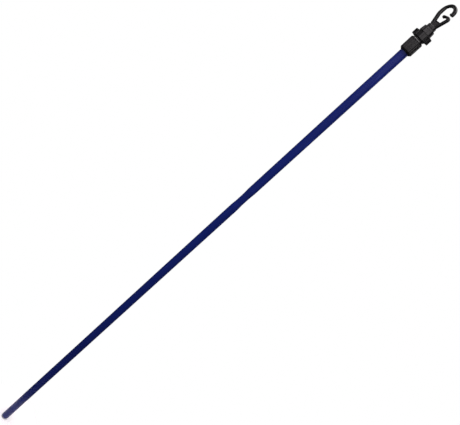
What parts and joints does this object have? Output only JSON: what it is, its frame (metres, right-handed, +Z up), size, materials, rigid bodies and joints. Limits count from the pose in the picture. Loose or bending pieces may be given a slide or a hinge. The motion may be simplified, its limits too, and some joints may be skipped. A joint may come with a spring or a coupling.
{
  "type": "streamer pole with swivel hook",
  "caption": "Long plastic-sheathed pole with a domed butt and a clamp-on head that carries a swivelling open hook, for flying a carp streamer or windsock.",
  "frame": {"origin": "centre of the pole's butt, at its lowest point", "axes": "+Z up along the pole; the hook lies in the XZ plane and opens towards +X; the head's wings point along +X and -X"},
  "size_m": [0.0348, 0.0238, 1.22],
  "materials": {
    "core_steel": "thin-walled welded tube, mill finish",
    "ferrule_steel": "plain drawn tube",
    "sheath_blue": "satin-gloss shrunk sheath",
    "cap_blue": "moulded, slightly deeper blue",
    "plug_black": "moulded",
    "ring_white": "natural nylon",
    "washer_white": "natural acetal",
    "nut_black": "glossy moulding",
    "head_black": "glossy moulding",
    "thrust_black": "black acetal",
    "bush_white": "natural acetal",
    "pad_rubber": "soft pad",
    "hook_black": "glossy moulding",
    "washer_steel": "zinc plated",
    "screw_steel": "zinc plated"
  },
  "bodies": {
    "pole": {"lower_tube": "core_steel", "upper_tube": "core_steel", "joint_ferrule": "ferrule_steel", "pole_sleeve": "sheath_blue", "butt_cap": "cap_blue", "top_plug": "plug_black"},
    "head": {"head_body": "head_black", "bearing_cap": "head_black", "swivel_bush": "bush_white", "socket_pad": "pad_rubber"},
    "clamp": {"clamp_ring": "ring_white", "slip_washer": "washer_white"},
    "nut": {"clamp_nut": "nut_black"},
    "hook": {"swivel_hook": "hook_black", "thrust_washer": "thrust_black", "stem_washer": "washer_steel", "stem_screw": "screw_steel"}
  },
  "joints": [
    {"name": "head_lift", "type": "slide", "parent": "pole", "child": "head", "axis": [0, 0, 1], "range_m": [0, 0.04]},
    {"name": "nut_drop", "type": "slide", "parent": "head", "child": "clamp", "axis": [0, 0, -1], "range_m": [0, 0.0051]},
    {"name": "nut_turn", "type": "hinge", "parent": "clamp", "child": "nut", "pos_m": [0, 0, 1.1318], "axis": [0, 0, -1], "range_deg": [0, 900]},
    {"name": "hook_swivel", "type": "hinge", "parent": "head", "child": "hook", "pos_m": [0, 0, 1.17], "axis": [0, 0, 1], "continuous": true}
  ],
  "couplings": [
    {"joint": "nut_drop", "follows": "nut_turn", "m_per_rad": 0.00031831}
  ]
}
